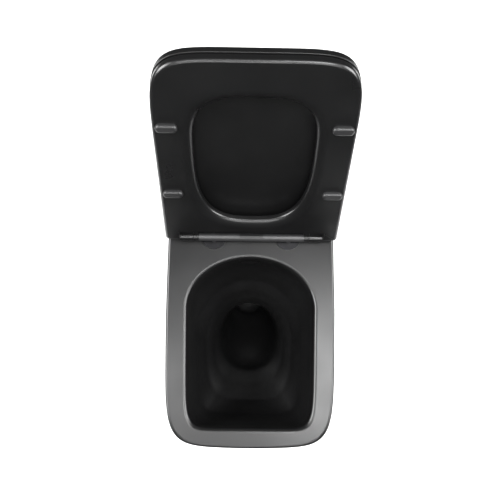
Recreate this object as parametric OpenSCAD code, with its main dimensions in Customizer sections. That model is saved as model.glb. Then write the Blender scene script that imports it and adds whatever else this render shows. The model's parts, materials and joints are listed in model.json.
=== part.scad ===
// Square rimless close coupled toilet pan with a soft-close seat and lid, both raised.
// The front faces -Y and the floor is z = 0. The hinge axis runs along X at y = hinge_y.
// Seat and lid are drawn as they lie closed, about their hinge axis, and then turned up.

/* [Pan] */
// Height of the rim above the floor
rim_h = 400; // [390:5:430]
// Width of the rim at its widest
rim_w = 348; // [340:2:360]
// Hinge axis to the front of the rim
rim_reach = 421; // [415:1:430]
// Hinge axis to the wall behind the cistern deck
deck_reach = 195; // [190:5:220]
// Thickness of the rim and the cistern deck
deck_t = 18; // [16:1:22]
// Thickness of the china walls
china_t = 12; // [10:1:14]
// Width of the bowl opening
bowl_w = 261; // [255:1:264]
// Width of the foot on the floor
foot_w = 250; // [240:5:300]
// Hinge axis to the front of the foot
foot_reach = 320; // [310:5:350]
// Height of the soil outlet's centre above the floor
outlet_h = 180; // [175:1:190]
// Outside diameter of the soil outlet
outlet_d = 102; // [100:1:106]
// Diameter of the flush inlet in the deck
inlet_d = 64; // [60:1:70]

/* [Seat and lid] */
// Angle between closed and fully raised
open_deg = 118; // [95:1:118]
// Width of the seat
seat_w = 351; // [345:1:356]
// Hinge axis to the front of the seat
seat_reach = 424; // [418:1:428]
// Thickness of the seat
seat_t = 18; // [16:1:18]
// Width of the seat's opening
hole_w = 216; // [205:1:225]
// How far the lid stands out past the seat
lid_lap = 1; // [0.5:0.5:3]
// Depth of the lid with its skirt
lid_d = 17; // [14:1:17]
// Thickness of the lid's panel and skirt
lid_t = 5; // [4:0.5:6]

/* [Hinge] */
// Height of the hinge axis above the rim
hinge_rise = 20; // [20:1:24]
// Distance between the two hinge bases
hinge_pitch = 155; // [145:1:165]
// Outside diameter of the hinge bar
bar_d = 17; // [17:0.5:18]
// Length of the hinge bar
bar_w = 216; // [210:1:220]
// Width of the release button
button_w = 48; // [40:1:50]
// Travel of the release button
press = 2.5; // [2:0.5:3]
// Travel of the hinge bases either way from the middle of their slots
adjust = 5; // [3:0.5:5]

/* [Hidden] */

$fn = 64;
hinge_y = 100;
hinge_z = rim_h + hinge_rise;
fit = 0.05;
free = 0.3;
rim_z = -hinge_rise;

// Points round each ring of the china, and of the trap.
RING = 48;
PIPE = 20;
rim_middle = -150;
rim_round = 6;
lip_round = 8;

// Closing of the skirt at each station from the floor up, 1 on the floor and 0 at the rim.
skirt_steps = [1, 0.82, 0.64, 0.45, 0.28, 0.15, 0.06];

// Mouth of the bowl and the bottom of the sump under it, along y.
mouth_front = -382;
mouth_back = -40;
mouth_middle = -145;
sump_middle = -90;
sump_depth = 338;

// Depth below the rim, half width, front, back, and squareness of the front of the bowl.
bowl_steps = [
    [0, bowl_w / 2, mouth_front, mouth_back, 10],
    [60, bowl_w / 2 - 3, mouth_front + 4, mouth_back - 6, 9],
    [120, bowl_w / 2 - 14, mouth_front + 20, mouth_back - 26, 6],
    [165, bowl_w / 2 - 32, mouth_front + 50, mouth_back - 52, 3.6],
    [195, 80, -296, -104, 2.8],
    [215, 68, -268, -108, 2.4],
    [240, 61, -245, -99, 2],
    [270, 53, -202, -87, 2],
    [300, 46, -160, -74, 2],
    [330, 36, -120, -61, 2]
];

// Seat and lid heights about the hinge axis, as they lie closed.
seat_under = -12;
seat_top = seat_under + seat_t;
lid_under = seat_top + 2;
lid_top = lid_under + lid_d;
seat_back = 2;
bar_notch = 27;
recess_top = -2;
lid_back = 2;
edge_bevel = 3;

// Knuckles along the hinge axis, from the bar's end outwards.
lid_knuckle = [bar_w / 2 + free, bar_w / 2 + 10.7];
seat_knuckle = [bar_w / 2 + 11, bar_w / 2 + 39];
knuckle_r = bar_d / 2;

// Damper cartridges and the pins they turn.
damper_r = 6;
damper_in = 58;
pin_r = 3.5;
pin_from = 86;
pin_to = 140;

// Hinge bases and their posts, screws and sleeves.
base_r = 27;
base_t = 4;
base_y = 5;
post_r = 5;
post_top = rim_z + 12;
screw_y = 18;
screw_r = 3;
screw_l = 45;
head_r = 5;
head_h = 3.5;
fixing_r = 7;
sleeve_l = 30;
nut_l = 8;
boss_r = 7.5;

// Release button and the two latches that it draws together.
rib_half = 4.5;
rib_under = rim_z + base_t + 0.4;
latch_z = [rim_z + 5.8, rim_z + 9.8];
latch_half = 2.5;
latch_in = 10;
latch_out = hinge_pitch / 2 - post_r - 0.1;
button_half = 4;
button_under = -3;
button_r = 9.3;
leg = [12, 18];
leg_half = 1.1;
leg_tip = latch_z[1] - 0.8;
well_floor = button_under - press - 0.5;
spring_seat = rim_z + 8;
spring_r = 2.4;
spring_wire = 0.4;
spring_turns = 5;

// Fixings in the china for other parts.
cistern_pitch = 150;
cistern_y = 125;
cistern_hole_r = 6;
step_h = 2;
step_front = 45;
step_inset = 9;
side_hole_r = 7;
side_hole = [95, 60];
side_slope = 11.5;
duct_half = 20;
spigot_y = 124;
arch_r = 74;

// ---------------------------------------------------------------- outlines

// Closed curve of two superellipse halves that meet on their widest line.
// The front half narrows by the taper and its front edge is bowed.
function outline(half_w, front, middle, back, n_front, n_back, taper = 0, bow = 0, count = RING) = [
    for (i = [0 : count - 1])
        let (
            t = 360 * i / count,
            ahead = sin(t) < 0,
            power = 2 / (ahead ? n_front : n_back),
            along = pow(abs(sin(t)), power),
            across = sign(cos(t)) * pow(abs(cos(t)), power)
        )
        ahead
            ? [
                half_w * across * (1 - taper * along),
                middle + (front - middle + bow * across * across) * along
            ]
            : [half_w * across, middle + (back - middle) * along]
];

function at_height(points, z) = [for (p = points) [p.x, p.y, z]];

function blend(a, b, u) = a + (b - a) * u;

// Closed skin over rings of equal length, from one pole to the other.
module skin(rings, first_pole, last_pole) {
    n = len(rings[0]);
    m = len(rings);
    walls = [
        for (j = [0 : m - 2]) for (i = [0 : n - 1])
            let (k = (i + 1) % n)
            each [
                [j * n + i, (j + 1) * n + k, j * n + k],
                [j * n + i, (j + 1) * n + i, (j + 1) * n + k]
            ]
    ];
    first_cap = [for (i = [0 : n - 1]) [i, (i + 1) % n, n * m]];
    last_cap = [for (i = [0 : n - 1]) [(m - 1) * n + (i + 1) % n, (m - 1) * n + i, n * m + 1]];
    polyhedron(
        points = concat([for (r = rings) for (p = r) p], [first_pole, last_pole]),
        faces = concat(walls, first_cap, last_cap)
    );
}

module in_frame() {
    translate([0, hinge_y, 0]) children();
}

module at_hinge() {
    translate([0, hinge_y, hinge_z]) children();
}

module raised() {
    at_hinge() rotate([-open_deg, 0, 0]) children();
}

// Cylinder along X between two distances from the middle, on side -1 or 1.
module rod(from, to, r, side = 1) {
    translate([side > 0 ? from : -to, 0, 0]) rotate([0, 90, 0]) cylinder(h = to - from, r = r);
}

// Box between two corners.
module block(low, high) {
    translate(low) cube(high - low);
}

// ---------------------------------------------------------------- china

// Outline of the rim, and of the skirt as it closes in from the rim to the foot.
// closing is 0 at the rim and 1 on the floor.
function skirt_ring(closing, inset, z) =
    let (spread = 1 - pow(closing, 1.8))
    at_height(
        outline(
            blend(foot_w, rim_w, spread) / 2 - inset,
            -blend(foot_reach, rim_reach, spread) + inset,
            rim_middle,
            deck_reach - inset,
            7, 12, 0.04, 8
        ),
        z
    );

// Half width of the skirt at a height.
function skirt_half(z) = blend(foot_w, rim_w, 1 - pow(1 - z / rim_h, 1.8)) / 2;

// Solid inside the skirt's outer face, with a rounded edge at the rim.
module skirt_solid() {
    edge = [for (k = [0 : 3])
        skirt_ring(0, rim_round * (1 - cos(30 * k)), rim_h - rim_round * (1 - sin(30 * k)))];
    side = [for (c = skirt_steps) skirt_ring(c, 0, rim_h * (1 - c))];
    skin(concat(side, edge), [0, rim_middle, 0], [0, rim_middle, rim_h]);
}

// Hollow under the rim and the deck, open to the floor.
module skirt_hollow() {
    side = [for (c = skirt_steps) if (c < 1) skirt_ring(c, china_t, rim_h * (1 - c))];
    skin(
        concat([skirt_ring(1, china_t, -1)], side, [skirt_ring(0, china_t, rim_h - deck_t)]),
        [0, rim_middle, -1], [0, rim_middle, rim_h - deck_t]
    );
}

// Outline of the bowl at a step, from the mouth's own outline down to the round sump.
function bowl_ring(s, wall) =
    at_height(
        outline(
            s[1] + wall,
            s[2] - wall,
            blend(mouth_middle, (s[2] + s[3]) / 2, min(s[0] / 195, 1)),
            s[3] + wall,
            s[4], 2, 0.045
        ),
        rim_h - s[0]
    );

// Space in the bowl, from above the rounded lip of its mouth down to the sump.
module bowl_space() {
    mouth = bowl_steps[0];
    lip = [for (k = [0 : 3])
        [for (p = bowl_ring(mouth, lip_round * (1 - cos(30 * k))))
            [p.x, p.y, rim_h - lip_round * (1 - sin(30 * k))]]];
    top = [for (p = lip[3]) [p.x, p.y, rim_h + 1]];
    down = [for (k = [len(bowl_steps) - 1 : -1 : 1]) bowl_ring(bowl_steps[k], 0)];
    skin(concat(down, lip, [top]), [0, sump_middle, rim_h - sump_depth], [0, mouth_middle, rim_h + 1]);
}

// Outside of the bowl, reaching up into the rim.
module bowl_solid() {
    top = [for (p = bowl_ring(bowl_steps[0], china_t)) [p.x, p.y, rim_h - deck_t / 2]];
    down = [for (k = [len(bowl_steps) - 1 : -1 : 1]) bowl_ring(bowl_steps[k], china_t)];
    skin(
        concat(down, [top]),
        [0, sump_middle, rim_h - sump_depth - china_t], [0, mouth_middle, rim_h - deck_t / 2]
    );
}

// Centre line of the trap from the sump, over the weir and out to the back, as [y, z].
trap_route = [[-90, 98], [-62, 102], [-40, 121], [-24, 151], [-5, 184],
    [16, 209], [38, 217], [60, 208], [82, 192], [104, outlet_h], [140, outlet_h]];

function unit(v) = v / norm(v);

function trap_ring(k, r) =
    let (
        last = len(trap_route) - 1,
        c = trap_route[k],
        way = unit(trap_route[min(k + 1, last)] - trap_route[max(k - 1, 0)])
    )
    [for (i = [0 : PIPE - 1])
        let (t = 360 * i / PIPE)
        [r * cos(t), c.x + r * sin(t) * way.y, c.y - r * sin(t) * way.x]];

module trap(r) {
    last = len(trap_route) - 1;
    skin(
        [for (k = [0 : last]) trap_ring(k, r)],
        [0, trap_route[0].x, trap_route[0].y],
        [0, trap_route[last].x, trap_route[last].y]
    );
}

// Duct from the flush inlet to a slot in the back of the bowl.
module duct(side, low, high, back) {
    block([-side, mouth_back + 4, rim_h - low], [side, back, rim_h - high]);
}

// Opening in the back of the skirt, where the pipe reaches the soil outlet.
module pipe_arch() {
    block([-arch_r, deck_reach - 40, -1], [arch_r, deck_reach + 1, outlet_h]);
    translate([0, deck_reach - 40, outlet_h]) rotate([-90, 0, 0]) cylinder(h = 41, r = arch_r);
}

// Low step on the deck that the cistern stands on.
module cistern_step() {
    corner = 10;
    half = rim_w / 2 - step_inset;
    translate([0, 0, rim_h - 1]) linear_extrude(step_h + 1) offset(corner)
        polygon([
            [-half + corner, step_front + corner], [half - corner, step_front + corner],
            [half - corner, deck_reach - step_inset - corner],
            [-half + corner, deck_reach - step_inset - corner]
        ]);
}

module pan() {
    bore_r = outlet_d / 2 - 11;
    color([0.17, 0.17, 0.18])
    in_frame() difference() {
        union() {
            // The curved china is joined as one mesh, at the size it is drawn.
            resize([0, 0, 0]) difference() {
                union() {
                    difference() {
                        skirt_solid();
                        skirt_hollow();
                        pipe_arch();
                    }
                    bowl_solid();
                    trap(outlet_d / 2 - 2);
                    duct(duct_half + china_t, 56, deck_t - 1, cistern_y + inlet_d / 2 + 10);
                }
                bowl_space();
                trap(bore_r - 3);
                duct(duct_half, 46, deck_t + 8, cistern_y + duct_half);
                block([-duct_half, mouth_back - 12, rim_h - 46], [duct_half, 0, rim_h - 30]);
            }
            translate([0, spigot_y, outlet_h]) rotate([-90, 0, 0])
                cylinder(h = deck_reach - 6 - spigot_y, r = outlet_d / 2);
            cistern_step();
        }
        translate([0, spigot_y - 6, outlet_h]) rotate([-90, 0, 0]) cylinder(h = deck_reach, r = bore_r);
        translate([0, cistern_y, rim_h - deck_t]) cylinder(h = deck_t + step_h + 1, r = inlet_d / 2);
        translate([0, cistern_y, rim_h - deck_t - 12]) cylinder(h = deck_t, r = duct_half - 2);
        for (x = [0, 1]) mirror([x, 0, 0]) {
            translate([hinge_pitch / 2, screw_y, rim_h - deck_t - 5]) cylinder(h = deck_t + 10, r = fixing_r);
            translate([cistern_pitch / 2, cistern_y, rim_h - deck_t - 5])
                cylinder(h = deck_t + 10, r = cistern_hole_r);
            translate([skirt_half(side_hole.y), side_hole.x, side_hole.y]) rotate([0, 90 + side_slope, 0])
                cylinder(h = 4 * china_t, r = side_hole_r, center = true);
        }
    }
}

// ---------------------------------------------------------------- seat and lid

// Outline of the seat or lid, straight at the sides and back, seen from above as it lies closed.
function cover_outline(half_w, reach, back) =
    let (corner = 8, middle = -210, steps = 48, power = 2 / 6)
    concat(
        [for (i = [0 : steps])
            let (t = 180 * i / steps)
            [
                -half_w * sign(cos(t)) * pow(abs(cos(t)), power),
                middle - (reach + middle) * pow(sin(t), power)
            ]],
        [for (i = [0 : 6])
            [half_w - corner + corner * cos(15 * i), -back - corner + corner * sin(15 * i)]],
        [for (i = [6 : -1 : 0])
            [-half_w + corner - corner * cos(15 * i), -back - corner + corner * sin(15 * i)]]
    );

// Outline of the seat's opening.
function hole_outline(grow) = outline(hole_w / 2 + grow, -350 - grow, -240, -60 + grow, 3.3, 3, 0, 0, 72);

// Slab with a bevel round its upper edge.
module slab(half_w, reach, back, low, high) {
    translate([0, 0, low]) linear_extrude(high - low - edge_bevel)
        polygon(cover_outline(half_w, reach, back));
    translate([0, 0, high - edge_bevel]) linear_extrude(edge_bevel)
        polygon(cover_outline(half_w - edge_bevel / 2, reach - edge_bevel / 2, back));
}

// Box over one knuckle, between two distances from the middle.
module knuckle_box(knuckle, front, back, low, high, side) {
    block([side > 0 ? knuckle[0] : -knuckle[1], front, low], [side > 0 ? knuckle[1] : -knuckle[0], back, high]);
}

// Seat with a notch round the bar, and a knuckle in a shallow recess at each end of the notch.
module seat_ring() {
    color([0.12, 0.12, 0.13])
    raised() difference() {
        union() {
            difference() {
                slab(seat_w / 2, seat_reach, seat_back, seat_under, seat_top);
                for (side = [-1, 1])
                    knuckle_box(seat_knuckle, -bar_notch, 2, seat_under - 1, recess_top, side);
            }
            for (side = [-1, 1]) {
                rod(seat_knuckle[0], seat_knuckle[1], knuckle_r, side);
                knuckle_box(seat_knuckle, -bar_notch, 0, recess_top, seat_top, side);
            }
        }
        translate([0, 0, seat_under - 1]) linear_extrude(seat_t + 2) polygon(hole_outline(0));
        translate([0, 0, seat_top - edge_bevel]) linear_extrude(edge_bevel + 1) polygon(hole_outline(3));
        block([-seat_knuckle[0], -bar_notch, seat_under - 1], [seat_knuckle[0], 2, seat_top + 1]);
        rod(seat_knuckle[0] - 1, pin_to + 1, pin_r, -1);
        rod(seat_knuckle[0] - 1, pin_to + 1, pin_r + fit, 1);
    }
}

module lid() {
    half = seat_w / 2 + lid_lap;
    reach = seat_reach + lid_lap;
    color([0.1, 0.1, 0.11])
    raised() difference() {
        union() {
            difference() {
                slab(half, reach, lid_back, lid_under, lid_top);
                translate([0, 0, lid_under - 1]) linear_extrude(lid_d - lid_t + 1)
                    polygon(cover_outline(half - lid_t, reach - lid_t, lid_back - 20));
            }
            for (side = [-1, 1]) {
                rod(lid_knuckle[0], lid_knuckle[1], knuckle_r, side);
                knuckle_box(lid_knuckle, 2 - bar_notch, -lid_back, 0, lid_top - edge_bevel, side);
            }
        }
        rod(lid_knuckle[0] - 1, lid_knuckle[1] + 1, pin_r + fit, -1);
        rod(lid_knuckle[0] - 1, lid_knuckle[1] + 1, pin_r, 1);
    }
}

// Rubber pad with round ends, long across the seat.
module pill(length, width, height) {
    linear_extrude(height) {
        square([length - width, width], center = true);
        for (x = [-1, 1]) translate([x * (length - width) / 2, 0]) circle(width / 2);
    }
}

module seat_bumper(side, along) {
    height = seat_under - rim_z - 0.2;
    color([0.2, 0.2, 0.21])
    raised() translate([side * 150, -along, seat_under - height]) pill(38, 17, height);
}

module seat_bumper_front_left() { seat_bumper(-1, 292); }
module seat_bumper_front_right() { seat_bumper(1, 292); }
module seat_bumper_back_left() { seat_bumper(-1, 137); }
module seat_bumper_back_right() { seat_bumper(1, 137); }

module lid_bumper(side) {
    color([0.2, 0.2, 0.21])
    raised() translate([side * 120, -330, seat_top + 0.2]) pill(24, 12, lid_top - lid_t - seat_top - 0.2);
}

module lid_bumper_left() { lid_bumper(-1); }
module lid_bumper_right() { lid_bumper(1); }

// ---------------------------------------------------------------- hinge

// Bar with a rib under it: dampers in its ends, latches in the rib and the button on top.
module hinge_bar() {
    half = bar_w / 2;
    color([0.14, 0.14, 0.15])
    at_hinge() difference() {
        union() {
            rod(-half, half, bar_d / 2);
            block([-hinge_pitch / 2, -rib_half, rib_under], [hinge_pitch / 2, rib_half, -4]);
            for (side = [-1, 1]) translate([side * hinge_pitch / 2, 0, rib_under])
                cylinder(h = -4 - rib_under, r = boss_r);
        }
        for (side = [-1, 1]) {
            rod(damper_in, half + 1, damper_r + fit, side);
            translate([side * hinge_pitch / 2, 0, rib_under - 1])
                cylinder(h = post_top - rib_under + 1.2, r = post_r + fit);
            mirror([side > 0 ? 0 : 1, 0, 0]) {
                block([latch_in - press - free, -latch_half - fit, latch_z[0] - fit],
                    [hinge_pitch / 2, latch_half + fit, latch_z[1] + fit]);
                block([leg[0] - free, -leg_half - fit, latch_z[1]],
                    [leg[1] + free, leg_half + fit, button_under]);
            }
        }
        block([-button_w / 2 - fit, -button_half - fit, well_floor],
            [button_w / 2 + fit, button_half + fit, bar_d]);
        translate([0, 0, spring_seat])
            cylinder(h = well_floor - spring_seat + 1, r = spring_r + spring_wire + fit);
    }
}

// Button with two wedge legs: as it goes down, their slopes draw the latches together.
module release_button() {
    slope = leg[1] - 1.5 - leg[0];
    color([0.2, 0.2, 0.21])
    at_hinge() {
        intersection() {
            rod(-button_w / 2, button_w / 2, button_r);
            block([-button_w, -button_half, button_under], [button_w, button_half, button_r]);
        }
        for (side = [0, 1]) mirror([side, 0, 0]) rotate([90, 0, 0])
            translate([0, 0, -leg_half]) linear_extrude(2 * leg_half)
            polygon([[leg[0], button_under + 1], [leg[0], leg_tip + slope], [leg[1] - 1.5, leg_tip],
                [leg[1], leg_tip], [leg[1], button_under + 1]]);
    }
}

// Compression spring under the button.
module button_spring() {
    low = spring_seat + spring_wire;
    high = button_under - spring_wire;
    steps = 12 * spring_turns;
    centre = [for (k = [0 : steps])
        [spring_r * cos(30 * k), spring_r * sin(30 * k), blend(low, high, k / steps)]];
    rings = [for (k = [0 : steps]) [for (i = [0 : 5])
        let (out = spring_wire * cos(60 * i))
        centre[k] + [out * cos(30 * k), out * sin(30 * k), -spring_wire * sin(60 * i)]]];
    color([0.75, 0.75, 0.76])
    at_hinge() skin(rings, centre[0], centre[steps]);
}

// Flat latch whose outer end clamps the hinge post, with a sloped window for the button's leg.
module latch(side) {
    gap = 0.2;
    reach = leg[1] - 1.5 + leg_tip;
    color([0.7, 0.7, 0.71])
    at_hinge() mirror([side > 0 ? 0 : 1, 0, 0]) difference() {
        block([latch_in, -latch_half, latch_z[0]], [latch_out, latch_half, latch_z[1]]);
        rotate([90, 0, 0]) translate([0, 0, -leg_half - gap]) linear_extrude(2 * (leg_half + gap))
            polygon([
                [reach - gap - latch_z[0] + 1, latch_z[0] - 1],
                [reach - gap - latch_z[1] - 1, latch_z[1] + 1],
                [leg[1] + press + 0.5, latch_z[1] + 1],
                [leg[1] + press + 0.5, latch_z[0] - 1]
            ]);
    }
}

module latch_left() { latch(-1); }
module latch_right() { latch(1); }

// Soft-close cartridge in one end of the bar.
module damper(side) {
    color([0.45, 0.45, 0.47])
    at_hinge() difference() {
        rod(damper_in + 0.5, bar_w / 2 - 0.5, damper_r, side);
        rod(pin_from - 1, bar_w / 2, pin_r + fit, side);
    }
}

module damper_left() { damper(-1); }
module damper_right() { damper(1); }

// Pivot pins: the left one turns with the seat, and the right one with the lid.
module pivot_pin(side) {
    color([0.75, 0.75, 0.76])
    at_hinge() rod(pin_from, pin_to, pin_r, side);
}

module seat_pin() { pivot_pin(-1); }
module lid_pin() { pivot_pin(1); }

// Round base with the post that the bar drops on and the slot for its screw.
module hinge_base(side) {
    color([0.62, 0.62, 0.63])
    at_hinge() translate([side * hinge_pitch / 2, 0, rim_z]) difference() {
        union() {
            translate([0, base_y, 0]) cylinder(h = base_t, r = base_r);
            cylinder(h = post_top - rim_z, r = post_r);
        }
        for (end = [-1, 1]) translate([0, screw_y + end * adjust, -1])
            cylinder(h = base_t + 2, r = screw_r + 0.3);
        translate([-screw_r - 0.3, screw_y - adjust, -1]) cube([2 * screw_r + 0.6, 2 * adjust, base_t + 2]);
    }
}

module hinge_base_left() { hinge_base(-1); }
module hinge_base_right() { hinge_base(1); }

module at_screw(side) {
    in_frame() translate([side * hinge_pitch / 2, screw_y, rim_h]) children();
}

// Top fixing screw with a hexagon socket in its head.
module base_screw(side) {
    color([0.78, 0.78, 0.79])
    at_screw(side) difference() {
        union() {
            translate([0, 0, base_t + fit]) cylinder(h = head_h, r = head_r);
            translate([0, 0, -screw_l]) cylinder(h = screw_l + base_t + 1, r = screw_r);
        }
        translate([0, 0, base_t + head_h - 2]) cylinder(h = 3, r = 2.3, $fn = 6);
    }
}

module base_screw_left() { base_screw(-1); }
module base_screw_right() { base_screw(1); }

// Rubber sleeve that swells in the china's hole as its nut is drawn up.
module rubber_sleeve(side) {
    color([0.1, 0.1, 0.1])
    at_screw(side) difference() {
        translate([0, 0, -sleeve_l]) cylinder(h = sleeve_l - 0.5, r = fixing_r - fit);
        translate([0, 0, -sleeve_l - 1]) cylinder(h = sleeve_l + 2, r = screw_r + fit);
    }
}

module rubber_sleeve_left() { rubber_sleeve(-1); }
module rubber_sleeve_right() { rubber_sleeve(1); }

// Tapered nut under the sleeve.
module sleeve_nut(side) {
    color([0.78, 0.66, 0.35])
    at_screw(side) difference() {
        translate([0, 0, -sleeve_l - nut_l - fit])
            cylinder(h = nut_l, r1 = fixing_r - 0.5, r2 = fixing_r - 2);
        translate([0, 0, -sleeve_l - nut_l - 1]) cylinder(h = nut_l + 2, r = screw_r);
    }
}

module sleeve_nut_left() { sleeve_nut(-1); }
module sleeve_nut_right() { sleeve_nut(1); }

pan();
seat_ring();
lid();
seat_bumper_front_left();
seat_bumper_front_right();
seat_bumper_back_left();
seat_bumper_back_right();
lid_bumper_left();
lid_bumper_right();
hinge_bar();
release_button();
button_spring();
latch_left();
latch_right();
damper_left();
damper_right();
seat_pin();
lid_pin();
hinge_base_left();
hinge_base_right();
base_screw_left();
base_screw_right();
rubber_sleeve_left();
rubber_sleeve_right();
sleeve_nut_left();
sleeve_nut_right();
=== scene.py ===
"""A satin black square rimless toilet pan with its soft-close seat and lid raised.

Lengths are in metres. Places come from the frame's boxes and joints. The seat, the lid and their
pads are built as they lie closed about the hinge axis, and then turned up by the opening angle.
"""

import json
import math

import bmesh
import bpy
from mathutils import Matrix, Vector


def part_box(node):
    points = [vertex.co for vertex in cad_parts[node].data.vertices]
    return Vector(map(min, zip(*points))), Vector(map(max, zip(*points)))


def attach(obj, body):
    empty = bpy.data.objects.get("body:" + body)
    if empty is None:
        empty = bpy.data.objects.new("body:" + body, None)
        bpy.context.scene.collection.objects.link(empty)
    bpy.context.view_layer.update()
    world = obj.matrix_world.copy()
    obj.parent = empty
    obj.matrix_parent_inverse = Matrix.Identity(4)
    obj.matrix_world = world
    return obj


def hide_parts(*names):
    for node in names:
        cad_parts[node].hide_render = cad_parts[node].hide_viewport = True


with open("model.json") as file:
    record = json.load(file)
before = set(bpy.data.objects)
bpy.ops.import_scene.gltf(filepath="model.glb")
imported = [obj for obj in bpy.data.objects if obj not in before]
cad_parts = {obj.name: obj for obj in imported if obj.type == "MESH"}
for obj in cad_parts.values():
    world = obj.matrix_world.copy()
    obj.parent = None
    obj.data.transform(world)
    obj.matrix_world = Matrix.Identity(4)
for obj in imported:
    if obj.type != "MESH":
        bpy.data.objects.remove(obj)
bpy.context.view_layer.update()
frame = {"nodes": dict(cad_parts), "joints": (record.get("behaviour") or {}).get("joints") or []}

MM = 0.001


# ---------------------------------------------------------------- places from the frame

def joint(name):
    return next(j for j in frame["joints"] if j["name"] == name)


def size(node):
    """Width, depth and height of a CAD node."""
    low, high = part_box(node)
    return high - low


AXIS = Vector(joint("lid_hinge")["pos_m"])
OPEN = math.radians(joint("lid_hinge")["range_deg"][1])
PAN_LOW, PAN_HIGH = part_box("pan")
RIM_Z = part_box("hinge_base_left")[0].z
STEP_Z = PAN_HIGH.z
RIM_HALF = PAN_HIGH.x
RIM_FRONT = PAN_LOW.y - AXIS.y
DECK_BACK = PAN_HIGH.y - AXIS.y
SEAT_HALF = size("seat_ring").x / 2
LID_HALF = size("lid").x / 2


# ---------------------------------------------------------------- curves

def blend(a, b, u):
    return a + (b - a) * u


def power(value, exponent):
    """A power that keeps the sign of its base."""
    return math.copysign(abs(value) ** exponent, value)


def superellipse(t, half, front, middle, back, n_front, n_back, taper=0.0, bow=0.0):
    """Point at angle t on two superellipse halves that meet on their widest line."""
    n = 2 / (n_front if math.sin(t) < 0 else n_back)
    along = abs(math.sin(t)) ** n
    across = power(math.cos(t), n)
    if math.sin(t) < 0:
        bowed = front - middle + bow * across * across
        return half * across * (1 - taper * along), middle + bowed * along
    return half * across, middle + (back - middle) * along


def even(values, weights, count):
    """Picks count values so that the weight between neighbours is the same, round a closed curve."""
    total = sum(weights)
    picked, reached, k = [], 0.0, 0
    for i in range(count):
        target = total * i / count
        while reached + weights[k] < target:
            reached += weights[k]
            k += 1
        picked.append(blend(values[k], values[k + 1], (target - reached) / weights[k]))
    return picked


def stations(shape, count, dense=3600, spread=0.7):
    """Angles that space points evenly along a superellipse as well as round it."""
    angles = [2 * math.pi * i / dense for i in range(dense + 1)]
    points = [superellipse(t, *shape) for t in angles]
    lengths = [math.dist(a, b) for a, b in zip(points, points[1:])]
    perimeter = sum(lengths)
    return even(angles, [d / perimeter + spread / dense for d in lengths], count)


def resample(points, count, turn_weight=0.08):
    """Closed curve with points spaced by length, and closer where it turns."""
    n = len(points)
    closed = points + points[:1]
    turns = []
    for i in range(n):
        a, b, c = points[i - 1], points[i], points[(i + 1) % n]
        before = math.atan2(b[1] - a[1], b[0] - a[0])
        after = math.atan2(c[1] - b[1], c[0] - b[0])
        turns.append(abs(math.remainder(after - before, 2 * math.pi)))
    lengths = [math.dist(a, b) for a, b in zip(closed, closed[1:])]
    perimeter = sum(lengths)
    weights = [d / perimeter + turn_weight * turn + 1e-9 for d, turn in zip(lengths, turns)]
    return even([Vector(p) for p in closed], weights, count)


def offset(points, distance):
    """Closed curve, run anticlockwise, moved outwards by a distance."""
    n = len(points)
    moved = []
    for i in range(n):
        along = (points[(i + 1) % n] - points[i - 1]).normalized()
        moved.append(points[i] + distance * Vector((along.y, -along.x)))
    return moved


def at(points, z):
    return [Vector((p[0], p[1], z)) for p in points]


def circle(centre, radius, side, up, count):
    angles = (2 * math.pi * i / count for i in range(count))
    return [centre + radius * (math.cos(a) * side + math.sin(a) * up) for a in angles]


def quarter(radius, steps):
    """Inset and drop at each step round an edge, from its side up to its top."""
    if not radius:
        return [(0, 0)]
    angles = (math.pi / 2 * k / steps for k in range(steps + 1))
    return [(radius * (1 - math.cos(a)), radius * (1 - math.sin(a))) for a in angles]


def smooth_row(rows, u):
    """Row of numbers at place u, counted in rows, on a smooth curve through the rows."""
    last = len(rows) - 1
    k = min(int(u), last - 1)
    t = u - k
    near = [rows[max(0, min(last, k + d))] for d in (-1, 0, 1, 2)]
    row = []
    for a, b, c, d in zip(*near):
        bend, twist = 2 * a - 5 * b + 4 * c - d, 3 * b - a - 3 * c + d
        row.append(0.5 * (2 * b + (c - a) * t + bend * t * t + twist * t ** 3))
    return row


# ---------------------------------------------------------------- mesh building

def mesh_object(name, bm):
    bmesh.ops.recalc_face_normals(bm, faces=bm.faces)
    mesh = bpy.data.meshes.new(name)
    bm.to_mesh(mesh)
    bm.free()
    obj = bpy.data.objects.new(name, mesh)
    bpy.context.scene.collection.objects.link(obj)
    return obj


def loft(name, rings, loop=False):
    """Closed mesh over rings of equal length, capped at both ends or joined into a loop."""
    bm = bmesh.new()
    rows = [[bm.verts.new(p) for p in ring] for ring in rings]
    n = len(rows[0])
    for a, b in zip(rows, rows[1:] + (rows[:1] if loop else [])):
        for i in range(n):
            k = (i + 1) % n
            bm.faces.new((a[i], a[k], b[k], b[i]))
    if not loop:
        for row in (rows[0], rows[-1]):
            bm.faces.new(row)
    return mesh_object(name, bm)


def rod(start, end, radius, round_by=0.0, count=72):
    """Cylinder between two points, with rounded ends if asked."""
    axis = (end - start).normalized()
    side = axis.orthogonal().normalized()
    up = axis.cross(side)
    edge = quarter(round_by, 4)
    rings = [circle(start + axis * drop, radius - inset, side, up, count) for inset, drop in edge[::-1]]
    rings += [circle(end - axis * drop, radius - inset, side, up, count) for inset, drop in edge]
    return loft("rod", rings)


def block(low, high, round_by=0.0):
    """Box between two corners, with its edges rounded if asked."""
    bm = bmesh.new()
    bmesh.ops.create_cube(bm, size=1)
    for v in bm.verts:
        v.co = Vector([high[i] if v.co[i] > 0 else low[i] for i in range(3)])
    if round_by:
        bmesh.ops.bevel(bm, geom=bm.edges[:], offset=round_by, segments=3, affect="EDGES", profile=0.5)
    return mesh_object("block", bm)


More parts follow.
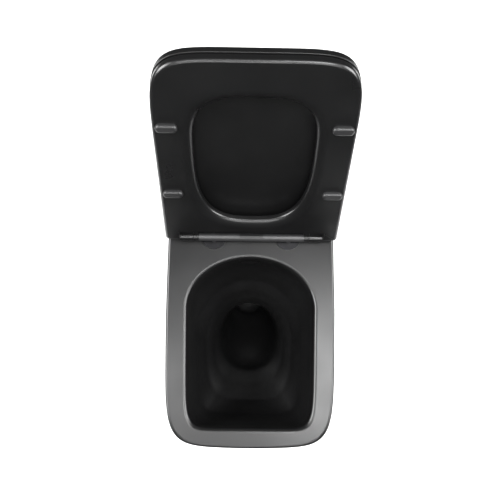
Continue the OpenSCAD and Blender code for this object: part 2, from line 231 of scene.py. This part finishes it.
def combine(target, tool, operation):
    """Joins or cuts target with tool, which is then deleted."""
    modifier = target.modifiers.new("combine", "BOOLEAN")
    modifier.operation = operation
    modifier.solver = "MANIFOLD"
    modifier.object = tool
    depsgraph = bpy.context.evaluated_depsgraph_get()
    mesh = bpy.data.meshes.new_from_object(target.evaluated_get(depsgraph))
    target.modifiers.clear()
    target.data = mesh
    bpy.data.objects.remove(tool)


def join(target, tool):
    combine(target, tool, "UNION")


def cut(target, tool):
    combine(target, tool, "DIFFERENCE")


def finish_surface(obj, degrees=40):
    """Smooth shading that stays crisp at real edges and flat on flat faces."""
    obj.data.shade_smooth()
    obj.data.set_sharp_from_angle(angle=math.radians(degrees))
    weighted = obj.modifiers.new("weighted", "WEIGHTED_NORMAL")
    weighted.keep_sharp = True


def merge_flats(obj):
    """Joins the triangles that a cut leaves on flat faces, so that flats stay evenly shaded."""
    bm = bmesh.new()
    bm.from_mesh(obj.data)
    bmesh.ops.dissolve_limit(bm, angle_limit=math.radians(0.05), verts=bm.verts, edges=bm.edges)
    bm.to_mesh(obj.data)
    bm.free()


def raise_up(obj):
    """Turns a piece from its closed place about the hinge axis to its open place in the frame."""
    obj.data.transform(Matrix.Translation(AXIS) @ Matrix.Rotation(-OPEN, 4, "X"))


def settle(obj, name, body, slot, material, *nodes):
    """Names a piece, gives it its body and material, and hides the CAD nodes that it stands for. The
    slot is not used.
    """
    obj.name = name
    obj.data.materials.clear()
    obj.data.materials.append(material)
    finish_surface(obj)
    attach(obj, body)
    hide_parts(*nodes)


# ---------------------------------------------------------------- materials

def shader(name, color, roughness, **sockets):
    material = bpy.data.materials.new(name)
    material.use_nodes = True
    principled = material.node_tree.nodes["Principled BSDF"]
    principled.inputs["Base Color"].default_value = (*color, 1)
    principled.inputs["Roughness"].default_value = roughness
    for key, value in sockets.items():
        principled.inputs[key.replace("_", " ")].default_value = value
    return material


def noise(material, scale, detail, stretch=(1, 1, 1)):
    nodes, links = material.node_tree.nodes, material.node_tree.links
    mapping = nodes.new("ShaderNodeMapping")
    mapping.inputs["Scale"].default_value = stretch
    links.new(nodes.new("ShaderNodeTexCoord").outputs["Object"], mapping.inputs["Vector"])
    texture = nodes.new("ShaderNodeTexNoise")
    texture.inputs["Scale"].default_value = scale
    texture.inputs["Detail"].default_value = detail
    links.new(mapping.outputs["Vector"], texture.inputs["Vector"])
    return texture.outputs["Fac"]


def feed(material, value, socket):
    material.node_tree.links.new(value, material.node_tree.nodes["Principled BSDF"].inputs[socket])


# Most of the noise lies between these values.
NOISE_LOW, NOISE_HIGH = 0.3, 0.7
BUMP_HEIGHT = 0.1 * MM


def vary_roughness(material, value, low, high):
    node = material.node_tree.nodes.new("ShaderNodeMapRange")
    node.inputs["From Min"].default_value = NOISE_LOW
    node.inputs["From Max"].default_value = NOISE_HIGH
    node.inputs["To Min"].default_value = low
    node.inputs["To Max"].default_value = high
    material.node_tree.links.new(value, node.inputs["Value"])
    feed(material, node.outputs["Result"], "Roughness")


def vary_colour(material, value, dark, light):
    ramp = material.node_tree.nodes.new("ShaderNodeValToRGB")
    stops = ramp.color_ramp.elements
    for element, position, color in zip(stops, (NOISE_LOW, NOISE_HIGH), (dark, light)):
        element.position = position
        element.color = (*color, 1)
    material.node_tree.links.new(value, ramp.inputs["Fac"])
    feed(material, ramp.outputs["Color"], "Base Color")


def roughen(material, value, strength):
    bump = material.node_tree.nodes.new("ShaderNodeBump")
    bump.inputs["Strength"].default_value = strength
    bump.inputs["Distance"].default_value = BUMP_HEIGHT
    material.node_tree.links.new(value, bump.inputs["Height"])
    feed(material, bump.outputs["Normal"], "Normal")


# A faintly blue grey, and the dark and light ends of its drift.
GREY, GREY_DARK, GREY_LIGHT = (1, 1, 1.04), (0.9, 0.9, 0.94), (1.1, 1.1, 1.14)


def tinted(color, tone):
    return tuple(tone * c for c in color)


def satin(name, tone, low, high, grain, depth=0.06, **sockets):
    """Satin surface: its tone and roughness drift slowly, over a fine even grain."""
    material = shader(name, tinted(GREY, tone), (low + high) / 2, **sockets)
    drift = noise(material, scale=11, detail=3)
    vary_colour(material, drift, tinted(GREY_DARK, tone), tinted(GREY_LIGHT, tone))
    vary_roughness(material, drift, low, high)
    roughen(material, noise(material, grain, detail=2), depth)
    return material


def metal(name, color, low, high, stretch=(1, 1, 30)):
    """Metal with fine lines that run round one axis."""
    material = shader(name, color, (low + high) / 2, Metallic=1.0)
    lines = noise(material, scale=90, detail=4, stretch=stretch)
    vary_colour(material, lines, tinted(color, 0.88), color)
    vary_roughness(material, lines, low, high)
    roughen(material, lines, strength=0.1)
    return material


CHINA = satin("satin_china", 0.004, 0.30, 0.36, 700)
SEAT = satin("satin_resin_seat", 0.004, 0.27, 0.33, 800, 0.02)
LID = satin("satin_resin_lid", 0.003, 0.34, 0.40, 800, 0.02)
PAD = satin("soft_pad", 0.012, 0.38, 0.46, 900)
BAR = satin("satin_bar", 0.02, 0.40, 0.46, 1500, Specular_IOR_Level=0.7)
BUTTON = satin("satin_button", 0.009, 0.28, 0.34, 1500)
RUBBER = satin("rubber", 0.02, 0.6, 0.7, 500, 0.2)
STEEL = metal("stainless_steel", (0.62, 0.62, 0.63), 0.22, 0.34)
DAMPER = metal("drawn_aluminium", (0.5, 0.51, 0.53), 0.25, 0.36, (30, 1, 1))
BASE = metal("black_nickel", (0.035, 0.035, 0.037), 0.28, 0.38)
BRASS = metal("turned_brass", (0.72, 0.56, 0.28), 0.22, 0.32)


# ---------------------------------------------------------------- pan

CHINA_T = 12 * MM
DECK_T = 18 * MM
RIM_ROUND = 6 * MM
LIP_ROUND = 8 * MM
FOOT_HALF = 125 * MM
FOOT_FRONT = -320 * MM
RIM_MIDDLE = -150 * MM
MOUTH_MIDDLE = -145 * MM
SUMP_FLOOR = RIM_Z - 338 * MM
PAN_POINTS = 288
PIPE_POINTS = 96

# Squareness of the rim's front and back, and how far its front tapers and is bowed.
RIM_SHAPE = (7, 12, 0.04, 8 * MM)
# Squareness of the back of the bowl, and how far its front tapers.
BOWL_SHAPE = (2, 0.045)

# The rest of the pan is in millimetres, from the hinge axis and up from the floor.
OUTLET_Z, OUTLET_R, OUTLET_BORE_R, OUTLET_START = 180, 51, 40, 124
ARCH_R, ARCH_DEPTH = 74, 40
TRAP_R, TRAP_BORE_R = 49, 37
DUCT_HALF, DUCT_WALL = 20, 12
INLET_Y, INLET_R, INLET_NECK_R = 125, 32, 18
BOLT_HALF, BOLT_R = 75, 6
SEAT_HOLE_HALF, SEAT_HOLE_Y, SEAT_HOLE_R = 77.5, 18, 7
SIDE_HOLE_Y, SIDE_HOLE_R = 95, 7
SIDE_HOLE_ENDS = ((114, 64.8), (161, 55.2))

# Depth below the rim, half width, front, back and squareness of the front of the bowl.
BOWL = [
    (0, 130.5, -382, -40, 10),
    (60, 127.5, -378, -46, 9),
    (120, 116.5, -362, -66, 6),
    (165, 98.5, -332, -92, 3.6),
    (195, 80, -296, -104, 2.8),
    (215, 68, -268, -108, 2.4),
    (240, 61, -245, -99, 2),
    (270, 53, -202, -87, 2),
    (300, 46, -160, -74, 2),
    (330, 36, -120, -61, 2),
]

SHELF_DEPTH = 195
SUMP_DEPTH = BOWL[-1][0]

# Centre line of the trap from the sump over the weir to the outlet, as (y, z).
TRAP = [
    (-90, 98), (-62, 102), (-40, 121), (-24, 151), (-5, 184), (16, 209),
    (38, 217), (60, 208), (82, 192), (104, OUTLET_Z), (140, OUTLET_Z),
]


def from_axis(x, y, z):
    """Point of the frame from x and y measured at the hinge axis and z above the floor."""
    return Vector((x, y + AXIS.y, z))


def from_mm(x, y, z):
    return from_axis(x * MM, y * MM, z * MM)


def skirt_shape(closing, inset):
    """Outline of the skirt, from 0 at the rim to 1 on the floor."""
    spread = 1 - closing ** 1.8
    half = blend(FOOT_HALF, RIM_HALF, spread) - inset
    front = blend(FOOT_FRONT, RIM_FRONT, spread) + inset
    return half, front, RIM_MIDDLE, DECK_BACK - inset, *RIM_SHAPE


def bowl_shape(depth, wall):
    """Outline of the bowl at a depth below the rim, or of the china round it."""
    k = next(i for i in range(len(BOWL) - 1) if depth <= BOWL[i + 1][0])
    u = k + (depth - BOWL[k][0]) / (BOWL[k + 1][0] - BOWL[k][0])
    _, half, front, back, squareness = smooth_row(BOWL, u)
    middle = blend(MOUTH_MIDDLE, (front + back) / 2 * MM, min(depth / SHELF_DEPTH, 1))
    return half * MM + wall, front * MM - wall, middle, back * MM + wall, squareness, *BOWL_SHAPE


RIM_ANGLES = stations(skirt_shape(0, 0), PAN_POINTS)
MOUTH_ANGLES = stations(bowl_shape(0, 0), PAN_POINTS)


def skirt_ring(closing, inset, z):
    shape = skirt_shape(closing, inset)
    return [from_axis(*superellipse(t, *shape), z) for t in RIM_ANGLES]


def skirt_solid():
    """Everything inside the outer face of the skirt, with the rim's outer edge rounded."""
    heights = [RIM_Z * k / 36 for k in range(36)]
    side = [skirt_ring(1 - z / RIM_Z, 0, z) for z in heights if z < RIM_Z - 1.5 * RIM_ROUND]
    edge = [skirt_ring(0, inset, RIM_Z - drop) for inset, drop in quarter(RIM_ROUND, 6)]
    return loft("skirt", side + edge)


def skirt_hollow():
    """Hollow under the rim and the deck, open to the floor."""
    heights = [RIM_Z * k / 18 for k in range(1, 17)]
    side = [skirt_ring(1 - z / RIM_Z, CHINA_T, z) for z in heights]
    low, high = skirt_ring(1, CHINA_T, -MM), skirt_ring(0, CHINA_T, RIM_Z - DECK_T)
    return loft("hollow", [low, *side, high])


def bowl_ring(depth, wall):
    shape = bowl_shape(depth, wall)
    return [from_axis(*superellipse(t, *shape), RIM_Z - depth * MM) for t in MOUTH_ANGLES]


def sump_rings(wall):
    """Rounded bottom of the sump, from its lowest ring up."""
    ring = bowl_ring(SUMP_DEPTH, wall)
    centre = sum(ring, Vector()) / len(ring)
    low = SUMP_FLOOR - wall
    rings = []
    for k in range(1, 8):
        a = math.pi / 2 * k / 8
        z = blend(ring[0].z, low, math.cos(a))
        rings.append(at([centre.lerp(p, math.sin(a)) for p in ring], z))
    return rings


def bowl_space():
    """Air in the bowl, up through the rounded lip of its mouth."""
    walls = [bowl_ring(d, 0) for d in range(SUMP_DEPTH, 9, -4)]
    lip = [at(bowl_ring(0, inset), RIM_Z - drop) for inset, drop in quarter(LIP_ROUND, 6)]
    return loft("bowl_space", sump_rings(0) + walls + lip + [at(lip[-1], RIM_Z + MM)])


def bowl_solid():
    """Outside of the bowl, reaching up into the rim."""
    walls = [bowl_ring(d, CHINA_T) for d in range(SUMP_DEPTH, 6, -12)]
    top = at(bowl_ring(0, CHINA_T), RIM_Z - DECK_T / 2)
    return loft("bowl_solid", sump_rings(CHINA_T) + walls + [top])


def trap(radius, count=48, steps=6):
    """Pipe along the trap's centre line."""
    route = [smooth_row(TRAP, k / steps) for k in range((len(TRAP) - 1) * steps + 1)]
    centres = [from_mm(0, y, z) for y, z in route]
    rings = []
    for k, centre in enumerate(centres):
        way = (centres[min(k + 1, len(centres) - 1)] - centres[max(k - 1, 0)]).normalized()
        rings.append(circle(centre, radius, Vector((1, 0, 0)), Vector((0, way.z, -way.y)), count))
    return loft("trap", rings)


def deck_hole(x, y, radius, top, flare=2 * MM):
    """Cutter for a hole down through the deck, flared into a soft edge at the top."""
    x, y, radius = x * MM, y * MM, radius * MM
    profile = [(radius, RIM_Z - DECK_T - 6 * MM)]
    for k in range(5):
        a = math.pi / 8 * k
        profile.append((radius + flare * (1 - math.cos(a)), top - flare * (1 - math.sin(a))))
    profile.append((radius + flare, top + MM))
    side, up = Vector((1, 0, 0)), Vector((0, 1, 0))
    return loft("hole", [circle(from_axis(x, y, z), wide, side, up, 64) for wide, z in profile])


def cistern_step():
    """Low step on the deck that the cistern stands on."""
    inset, front, corner = 9 * MM, 45 * MM, 10 * MM
    half, back = RIM_HALF - inset, DECK_BACK - inset
    outline = []
    for k, (x, y) in enumerate(((half, back), (-half, back), (-half, front), (half, front))):
        middle = Vector((x - math.copysign(corner, x), y + (corner if y == front else -corner)))
        for i in range(13):
            a = math.pi / 2 * (k + i / 12)
            outline.append(middle + corner * Vector((math.cos(a), math.sin(a))) + Vector((0, AXIS.y)))
    rings = [at(outline, RIM_Z - MM)]
    rings += [at(offset(outline, -edge), STEP_Z - drop) for edge, drop in quarter(1.5 * MM, 4)]
    return loft("step", rings)


def pipe(start, end, radius, round_by=0.0):
    """Straight pipe along y at the height of the soil outlet."""
    ends = (from_mm(0, y, OUTLET_Z) for y in (start, end))
    return rod(*ends, radius * MM, round_by, PIPE_POINTS)


def flush_slot(rim):
    """Cutter for the slot where the flush enters the bowl, tipped up towards the front."""
    slot = block(from_mm(-DUCT_HALF, -58, rim - 43), from_mm(DUCT_HALF, 6, rim - 31), 4 * MM)
    middle = Matrix.Translation(from_mm(0, -26, rim - 37))
    slot.data.transform(middle @ Matrix.Rotation(math.radians(-18), 4, "X") @ middle.inverted())
    return slot


def drill(pan, rim):
    """Holes for the cistern, its flush valve, the hinge and two floor brackets."""
    cut(pan, rod(from_mm(0, INLET_Y, rim - 30), from_mm(0, INLET_Y, rim - 17), INLET_NECK_R * MM))
    cut(pan, deck_hole(0, INLET_Y, INLET_R, STEP_Z))
    for side in (-1, 1):
        cut(pan, deck_hole(side * SEAT_HOLE_HALF, SEAT_HOLE_Y, SEAT_HOLE_R, RIM_Z))
        cut(pan, deck_hole(side * BOLT_HALF, INLET_Y, BOLT_R, STEP_Z))
        ends = (from_mm(side * x, SIDE_HOLE_Y, z) for x, z in SIDE_HOLE_ENDS)
        cut(pan, rod(*ends, SIDE_HOLE_R * MM))


def build_pan():
    rim = RIM_Z / MM
    back = DECK_BACK / MM
    outside = DUCT_HALF + DUCT_WALL
    pan = skirt_solid()
    cut(pan, skirt_hollow())
    cut(pan, block(from_mm(-ARCH_R, back - ARCH_DEPTH, -1), from_mm(ARCH_R, back + 1, OUTLET_Z)))
    cut(pan, pipe(back - ARCH_DEPTH, back + 1, ARCH_R))
    join(pan, bowl_solid())
    join(pan, trap(TRAP_R * MM))
    join(pan, block(from_mm(-outside, -36, rim - 56), from_mm(outside, 167, rim - 17), 3 * MM))
    cut(pan, bowl_space())
    cut(pan, trap(TRAP_BORE_R * MM))
    cut(pan, flush_slot(rim))
    cut(pan, block(from_mm(-DUCT_HALF, -20, rim - 46), from_mm(DUCT_HALF, 145, rim - 26), 4 * MM))
    join(pan, pipe(OUTLET_START, back - 6, OUTLET_R, 2 * MM))
    cut(pan, pipe(OUTLET_START - 6, back + 1, OUTLET_BORE_R))
    join(pan, cistern_step())
    drill(pan, rim)
    settle(pan, "pan_china", "pan", "china", CHINA, "pan")


# ---------------------------------------------------------------- seat and lid

SEAT_UNDER, SEAT_TOP, SEAT_REACH = -12 * MM, 6 * MM, 424 * MM
LID_UNDER, LID_TOP, LID_REACH = 8 * MM, 25 * MM, 425 * MM
LID_WALL = 5 * MM
COVER_BACK = 2 * MM
COVER_POINTS = 384

# The seat's opening: its widest line and half width there, and then the length and squareness of
# its front and its back.
OPENING_MIDDLE = -240 * MM
OPENING_HALF = 108 * MM
OPENING_FRONT = (110 * MM, 3.3)
OPENING_BACK = (180 * MM, 3)
BEVEL_WIDTH, BEVEL_DEPTH = 20 * MM, 9 * MM

# The notch round the hinge bar, and the knuckles on the hinge axis.
NOTCH = 27 * MM
NOTCH_BACK = 20 * MM
RECESS_TOP = -2 * MM
KNUCKLE_R = 8.5 * MM
SEAT_KNUCKLE = (119 * MM, 147 * MM)
LID_KNUCKLE = (108.3 * MM, 118.7 * MM)
PIN_HOLE_R, PIN_HOLE_END = 3.55 * MM, 141 * MM


def cover_outline(half, reach, back, corner=8 * MM, middle=-210 * MM, dense=1200):
    """Outline of the seat or lid from above: straight sides and back, and a rounded front."""
    points = []
    for i in range(dense + 1):
        t = math.pi * i / dense
        x = -half * power(math.cos(t), 1 / 3)
        points.append(Vector((x, middle - (reach + middle) * abs(math.sin(t)) ** (1 / 3))))
    for start, x in ((0, half - corner), (math.pi / 2, -half + corner)):
        for i in range(25):
            a = start + math.pi / 2 * i / 24
            points.append(Vector((x + corner * math.cos(a), -back - corner + corner * math.sin(a))))
    return resample(points, COVER_POINTS)


def opening_ring(outer, grow, z):
    """The seat's opening, with one point in line with each point of the seat's outline."""
    points = []
    for p in outer:
        a = math.atan2(p.y - OPENING_MIDDLE, p.x)
        length, n = OPENING_FRONT if math.sin(a) < 0 else OPENING_BACK
        across = abs(math.cos(a) / (OPENING_HALF + grow)) ** n
        along = abs(math.sin(a) / (length + grow)) ** n
        radius = (across + along) ** (-1 / n)
        points.append(Vector((radius * math.cos(a), OPENING_MIDDLE + radius * math.sin(a), z)))
    return points


def axle(start, end, side, radius, round_by=0.0):
    """Cylinder on the hinge axis between two distances from the middle."""
    return rod(Vector((side * start, 0, 0)), Vector((side * end, 0, 0)), radius, round_by)


def knuckle(span, side, front, low, top):
    """Round knuckle on the hinge axis with the arm that carries it."""
    body = axle(*span, side, KNUCKLE_R, 0.5 * MM)
    left, right = sorted(side * x for x in span)
    join(body, block((left, -front, low), (right, 0, top), 0.4 * MM))
    return body


def seat_slab():
    """Ring of the seat with a soft bevel round the underside of its opening."""
    outer = cover_outline(SEAT_HALF, SEAT_REACH, COVER_BACK)
    rings = []
    for k in range(13):
        a = math.pi / 2 * k / 12
        grow = BEVEL_WIDTH * (1 - math.sin(a))
        rings.append(opening_ring(outer, grow, SEAT_UNDER + BEVEL_DEPTH * (1 - math.cos(a))))
    rings += [opening_ring(outer, inset, SEAT_TOP - drop) for inset, drop in quarter(3 * MM, 4)]
    rings.append(opening_ring(outer, 5 * MM, SEAT_TOP))
    rings.append(at(offset(outer, -7 * MM), SEAT_TOP))
    rings += [at(offset(outer, -inset), SEAT_TOP - drop) for inset, drop in quarter(4 * MM, 5)[::-1]]
    rings += [at(offset(outer, -inset), SEAT_UNDER + drop) for inset, drop in quarter(7 * MM, 8)]
    rings.append(at(offset(outer, -9 * MM), SEAT_UNDER))
    rings.append(opening_ring(outer, BEVEL_WIDTH + 2 * MM, SEAT_UNDER))
    return loft("seat", rings, loop=True)


def build_seat():
    seat = seat_slab()
    inner, outer = SEAT_KNUCKLE
    notch = (-inner, -NOTCH, SEAT_UNDER - MM), (inner, NOTCH_BACK, SEAT_TOP + MM)
    cut(seat, block(*notch, 0.5 * MM))
    for side in (-1, 1):
        left, right = sorted((side * (inner - MM), side * outer))
        recess = (left, -NOTCH, SEAT_UNDER - 5 * MM), (right, NOTCH_BACK, RECESS_TOP)
        cut(seat, block(*recess, 3 * MM))
        join(seat, knuckle(SEAT_KNUCKLE, side, NOTCH, RECESS_TOP, SEAT_TOP - 0.5 * MM))
        cut(seat, axle(inner - MM, PIN_HOLE_END, side, PIN_HOLE_R))
    merge_flats(seat)
    raise_up(seat)
    settle(seat, "seat_frame", "seat", "seat", SEAT, "seat_ring")


def lid_shell():
    """Panel of the lid with its skirt."""
    outer = cover_outline(LID_HALF, LID_REACH, COVER_BACK)
    rings = [at(offset(outer, -inset), LID_UNDER + drop) for inset, drop in quarter(1 * MM, 3)[::-1]]
    rings += [at(offset(outer, -inset), LID_TOP - drop) for inset, drop in quarter(5 * MM, 6)]
    lid = loft("lid", rings + [at(offset(outer, -7 * MM), LID_TOP)])
    inner = cover_outline(LID_HALF - LID_WALL, LID_REACH - LID_WALL, COVER_BACK - 20 * MM)
    panel = LID_TOP - LID_WALL
    hollow = [at(offset(inner, MM), z) for z in (LID_UNDER - MM, LID_UNDER)]
    hollow.append(at(inner, LID_UNDER + MM))
    hollow += [at(offset(inner, -inset), panel - drop) for inset, drop in quarter(6 * MM, 6)]
    cut(lid, loft("hollow", hollow + [at(offset(inner, -8 * MM), panel)]))
    return lid


def build_lid():
    lid = lid_shell()
    start, end = LID_KNUCKLE
    for side in (-1, 1):
        arm = knuckle(LID_KNUCKLE, side, NOTCH - 2 * MM, 0, LID_TOP - 3 * MM)
        cut(arm, axle(start - 1.3 * MM, end + 1.3 * MM, side, PIN_HOLE_R))
        join(lid, arm)
    raise_up(lid)
    settle(lid, "lid_cover", "lid", "lid", LID, "lid")


def pad(node, body, centre, length, width, foot, face, crown):
    """Soft pad with round ends and a crowned face, from its foot on the cover to its face."""
    radius = width / 2
    outline = []
    for side in (1, -1):
        for i in range(33):
            a = math.pi * i / 32 - math.pi / 2
            x = side * ((length - width) / 2 + radius * math.cos(a))
            outline.append(Vector((x, side * radius * math.sin(a))))
    way = math.copysign(1, face - foot)
    rings = [at(outline, foot)]
    rings += [at(offset(outline, -inset), face - way * drop) for inset, drop in quarter(crown, 8)]
    piece = loft(node, rings)
    piece.data.transform(Matrix.Translation((*centre, 0)))
    raise_up(piece)
    settle(piece, node + "_pad", body, "bumper", PAD, node)


def build_pads():
    for side, name in ((-1, "left"), (1, "right")):
        for where, along in (("front", -292 * MM), ("back", -137 * MM)):
            pad(
                f"seat_bumper_{where}_{name}", "seat", (side * 150 * MM, along),
                length=38 * MM, width=17 * MM, foot=SEAT_UNDER, face=-19.8 * MM, crown=5 * MM,
            )
        pad(
            f"lid_bumper_{name}", "lid", (side * 120 * MM, -330 * MM),
            length=24 * MM, width=12 * MM, foot=LID_TOP - LID_WALL, face=SEAT_TOP + 0.2 * MM,
            crown=2.5 * MM,
        )


# ---------------------------------------------------------------- hinge

def dress(node, material):
    """Gives a CAD node its material."""
    obj = frame["nodes"][node]
    obj.data.materials.clear()
    obj.data.materials.append(material)


def dress_hinge():
    dress("hinge_bar", BAR)
    dress("release_button", BUTTON)
    dress("button_spring", STEEL)
    for side in ("left", "right"):
        dress(f"latch_{side}", STEEL)
        dress(f"damper_{side}", DAMPER)
        dress(f"hinge_base_{side}", BASE)
        dress(f"base_screw_{side}", STEEL)
        dress(f"rubber_sleeve_{side}", RUBBER)
        dress(f"sleeve_nut_{side}", BRASS)
    for node in ("seat_pin", "lid_pin"):
        dress(node, STEEL)


# ---------------------------------------------------------------- studio

def build_floor():
    """Pale sheet under the pan, shorter at the front so that the raised seat mirrors less of it."""
    bm = bmesh.new()
    half_width, half_depth, middle, white = 1.15, 1.0, 0.22, 0.92
    bmesh.ops.create_grid(bm, x_segments=1, y_segments=1, size=1)
    bmesh.ops.scale(bm, vec=(half_width, half_depth, 1), verts=bm.verts)
    bmesh.ops.translate(bm, vec=(0, middle, 0), verts=bm.verts)
    floor = mesh_object("floor", bm)
    paint = shader("studio_floor", (white, white, white), 0.85, Specular_IOR_Level=0.1)
    roughen(paint, noise(paint, scale=300, detail=2), strength=0.02)
    floor.data.materials.append(paint)


def softbox(name, place, target, width, height, watts):
    light = bpy.data.lights.new(name, "AREA")
    light.shape = "RECTANGLE"
    light.size = width
    light.size_y = height
    light.energy = watts
    obj = bpy.data.objects.new(name, light)
    obj.location = place
    obj.rotation_euler = (Vector(target) - Vector(place)).to_track_quat("-Z", "Y").to_euler()
    bpy.context.scene.collection.objects.link(obj)


def build_lights():
    softbox("ceiling", (0, 0.1, 2.7), (0, 0.1, 0), 2.6, 1.2, 7)
    softbox("right_top", (0.49, -0.16, 2.4), (0.15, -0.2, 0.4), 0.55, 0.52, 26)
    softbox("left_top", (-0.46, -0.24, 2.4), (-0.15, -0.2, 0.4), 0.45, 0.4, 8)
    softbox("front_top", (0.05, -1.35, 2.2), (0, -0.1, 0.5), 1.8, 0.5, 32)
    softbox("left_bank", (-1.9, 0.1, 1.7), (0, 0, 0.2), 1.6, 1.2, 110)
    softbox("right_bank", (1.9, 0.1, 1.7), (0, 0, 0.2), 1.6, 1.2, 100)
    world = bpy.data.worlds.new("studio")
    world.use_nodes = True
    background = world.node_tree.nodes["Background"]
    background.inputs["Color"].default_value = (1, 1, 1, 1)
    background.inputs["Strength"].default_value = 0.1
    bpy.context.scene.world = world


def build_camera():
    """Camera above the front of the bowl, tilted towards the hinge."""
    place = (-0.0215, -0.1881, 1.6485)
    tilt, sway, roll = (math.radians(a) for a in (12, -0.8707, 0.7224))
    camera = bpy.data.objects.new("camera", bpy.data.cameras.new("camera"))
    camera.data.sensor_width = 36
    camera.data.lens = 43.88
    turn = Matrix.Rotation(sway, 4, "Y") @ Matrix.Rotation(roll, 4, "Z")
    camera.matrix_world = Matrix.Translation(place) @ Matrix.Rotation(tilt, 4, "X") @ turn
    bpy.context.scene.collection.objects.link(camera)
    bpy.context.scene.camera = camera


bpy.context.scene.view_settings.view_transform = "Standard"
build_camera()
build_floor()
build_lights()
build_pan()
build_seat()
build_lid()
build_pads()
dress_hinge()
